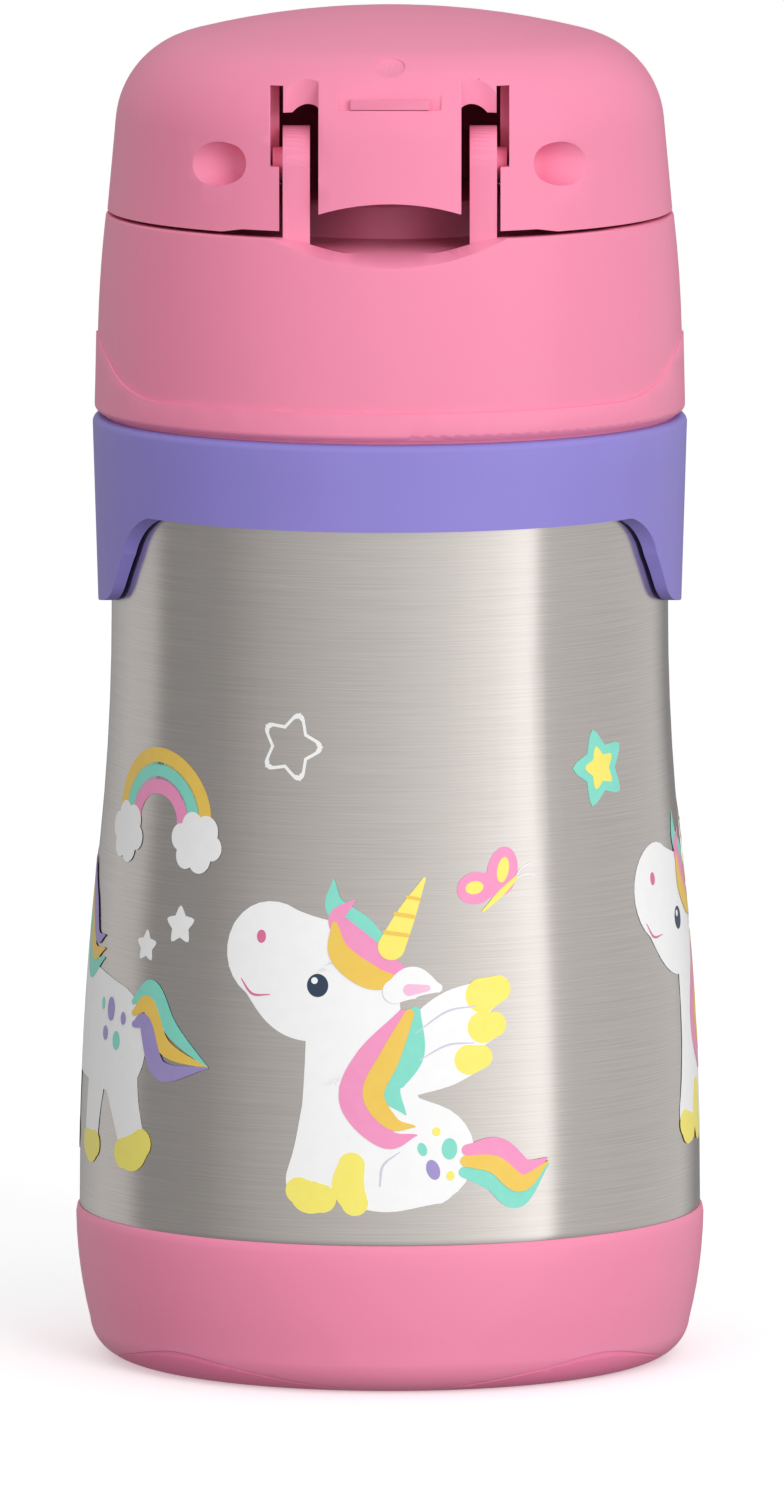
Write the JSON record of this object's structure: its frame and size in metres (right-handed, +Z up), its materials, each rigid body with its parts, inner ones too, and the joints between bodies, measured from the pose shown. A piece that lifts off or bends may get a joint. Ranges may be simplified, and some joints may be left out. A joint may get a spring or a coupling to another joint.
{
  "type": "kids water bottle",
  "caption": "Small insulated steel straw bottle for a child, with a pink screw lid, flip cap on two hinge arms, purple grip ring and printed fantasy animals.",
  "frame": {"origin": "centre of the foot, on the surface the bottle stands on", "axes": "+Z up along the bottle's axis; -Y towards the cap's hinge, +Y towards the push button"},
  "size_m": [0.0794, 0.0794, 0.171],
  "materials": {
    "brushed_shell": "horizontally brushed steel with a fine clear coat",
    "vessel_steel": "plain drawn steel",
    "plug_metal": "matt metal",
    "adhesive": "translucent sticky tape",
    "pink_plastic": "satin moulded plastic",
    "foot_rubber": "matt soft rubber",
    "clear_silicone": "translucent soft silicone",
    "white_plastic": "satin moulded plastic",
    "purple_grip": "soft satin rubber",
    "purple_plastic": "satin moulded plastic",
    "straw_plastic": "smooth tube",
    "spring_steel": "bright wire"
  },
  "bodies": {
    "bottle": {"outer_shell": "brushed_shell", "inner_vessel": "vessel_steel", "shell_base_plate": "vessel_steel", "vacuum_plug": "plug_metal", "getter": "plug_metal", "base_adhesive_ring": "adhesive", "base_cup": "pink_plastic", "foot_pad": "foot_rubber"},
    "lid_ring": {"lid_seal": "clear_silicone"},
    "lid": {"threaded_insert": "white_plastic", "lid_collar": "pink_plastic", "grip_ring": "purple_grip", "spout_base": "clear_silicone", "straw_tube": "straw_plastic", "vent_valve": "clear_silicone", "button_spring": "spring_steel"},
    "cap": {"cap_shell": "pink_plastic", "cap_liner": "white_plastic"},
    "spout": {"spout_tip": "clear_silicone"},
    "button": {"push_button": "purple_plastic"}
  },
  "joints": [
    {"name": "lid_rise", "type": "slide", "parent": "bottle", "child": "lid_ring", "axis": [0, 0, 1], "range_m": [0, 0.005]},
    {"name": "lid_turn", "type": "hinge", "parent": "lid_ring", "child": "lid", "pos_m": [0, 0, 0.134], "axis": [0, 0, 1], "range_deg": [0, 450.1]},
    {"name": "cap_hinge", "type": "hinge", "parent": "lid", "child": "cap", "pos_m": [0, -0.0274, 0.154], "axis": [1, 0, 0], "range_deg": [0, 110]},
    {"name": "spout_fold", "type": "hinge", "parent": "lid", "child": "spout", "pos_m": [0, -0.006, 0.1542], "axis": [1, 0, 0], "range_deg": [0, 70.1]},
    {"name": "button_press", "type": "slide", "parent": "lid", "child": "button", "axis": [0, -1, 0], "range_m": [0, 0.0018], "stiffness_N_per_m": 600, "deforming": ["button_spring"]}
  ],
  "couplings": [
    {"joint": "lid_turn", "follows": "lid_rise", "rad_per_m": 1570.8},
    {"joint": "spout_fold", "follows": "cap_hinge", "ratio": 0.63636}
  ]
}
